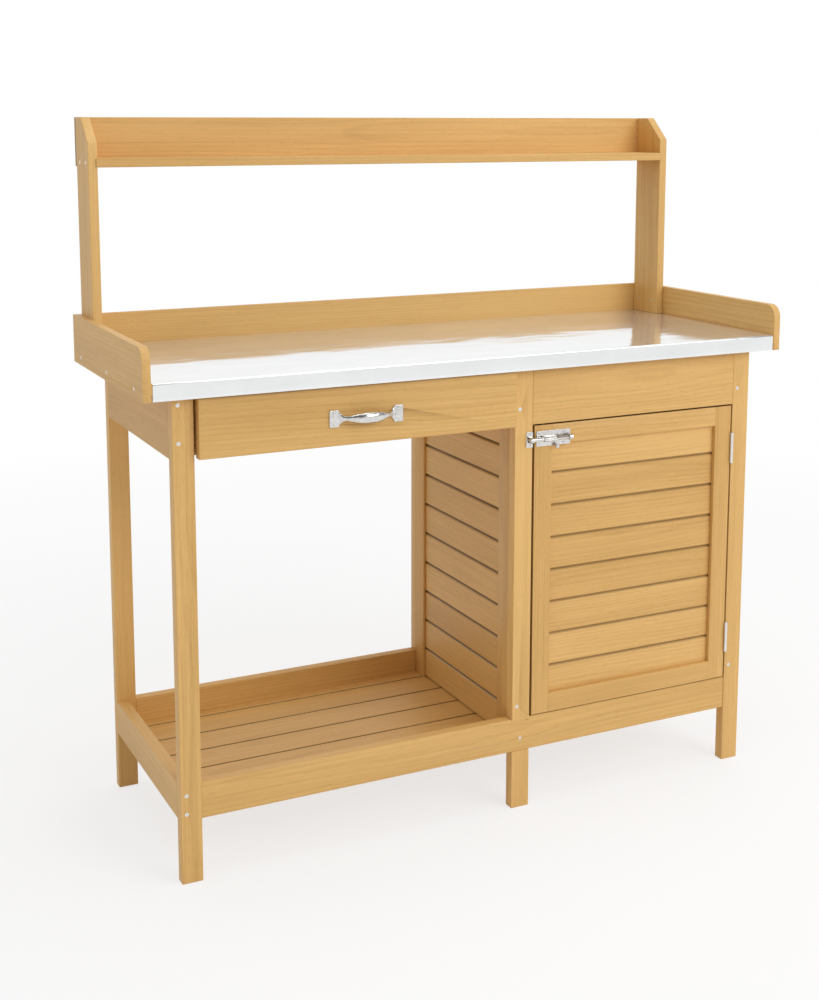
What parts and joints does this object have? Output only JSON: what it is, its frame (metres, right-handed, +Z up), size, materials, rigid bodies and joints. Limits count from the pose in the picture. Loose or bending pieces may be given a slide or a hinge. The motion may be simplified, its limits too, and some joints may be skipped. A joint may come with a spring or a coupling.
{
  "type": "potting bench",
  "caption": "Wooden garden potting bench with a galvanised worktop, a drawer, a slatted floor, a cabinet with a boarded door and a raised back shelf.",
  "frame": {"origin": "on the floor, under the middle of the bench's bounding box at rest", "axes": "+X to the right seen from the front, -Y to the front, +Z up"},
  "size_m": [1.2, 0.45, 1.214],
  "materials": {
    "softwood": "satin oil",
    "thin_board": "plain",
    "galvanised_sheet": "smooth galvanised",
    "polished_steel": "polished",
    "hinge_steel": "satin",
    "screw_steel": "satin"
  },
  "bodies": {
    "frame": {"leg_front_left": "softwood", "leg_front_right": "softwood", "leg_back_left": "softwood", "leg_back_right": "softwood", "middle_front_leg": "softwood", "middle_back_leg": "softwood", "front_bottom_rail": "softwood", "back_bottom_rail": "softwood", "left_bottom_rail": "softwood", "left_top_rail": "softwood", "back_top_rail": "softwood", "front_panel": "softwood", "floor_slat_1": "softwood", "floor_slat_2": "softwood", "floor_slat_3": "softwood", "floor_slat_4": "softwood", "floor_slat_5": "softwood", "floor_slat_6": "softwood", "slat_bearer_middle": "softwood", "slat_bearer_right": "softwood", "partition_front_stile": "softwood", "partition_back_stile": "softwood", "partition_boards": "softwood", "cabinet_side_front_stile": "softwood", "cabinet_side_back_stile": "softwood", "cabinet_side_boards": "softwood", "cabinet_back_boards": "softwood", "tabletop_board": "softwood", "side_board_left": "softwood", "side_board_right": "softwood", "worktop_back_board": "softwood", "hutch_upright_left": "softwood", "hutch_upright_right": "softwood", "hutch_shelf": "softwood", "hutch_back_board": "softwood", "drawer_runner_left": "softwood", "drawer_runner_right": "softwood", "metal_top": "galvanised_sheet", "upper_hinge_frame_leaf": "hinge_steel", "lower_hinge_frame_leaf": "hinge_steel", "hinge_pins": "hinge_steel", "bolt_keep": "polished_steel", "frame_screws": "screw_steel"},
    "door": {"door_stile_left": "softwood", "door_stile_right": "softwood", "door_top_rail": "softwood", "door_bottom_rail": "softwood", "door_boards": "softwood", "upper_hinge_door_leaf": "hinge_steel", "lower_hinge_door_leaf": "hinge_steel", "bolt_plate": "polished_steel", "door_screws": "screw_steel"},
    "bolt": {"sliding_bolt": "polished_steel"},
    "drawer": {"drawer_front": "softwood", "drawer_side_left": "softwood", "drawer_side_right": "softwood", "drawer_back": "softwood", "drawer_bottom": "thin_board", "drawer_handle": "polished_steel", "drawer_screws": "screw_steel"}
  },
  "joints": [
    {"name": "drawer_slide", "type": "slide", "parent": "frame", "child": "drawer", "axis": [0, -1, 0], "range_m": [0, 0.28]},
    {"name": "door_hinge", "type": "hinge", "parent": "frame", "child": "door", "pos_m": [0.5135, -0.193, 0.42785], "axis": [0, 0, 1], "range_deg": [0, 165]},
    {"name": "bolt_slide", "type": "slide", "parent": "door", "child": "bolt", "axis": [1, 0, 0], "range_m": [0, 0.019]}
  ]
}
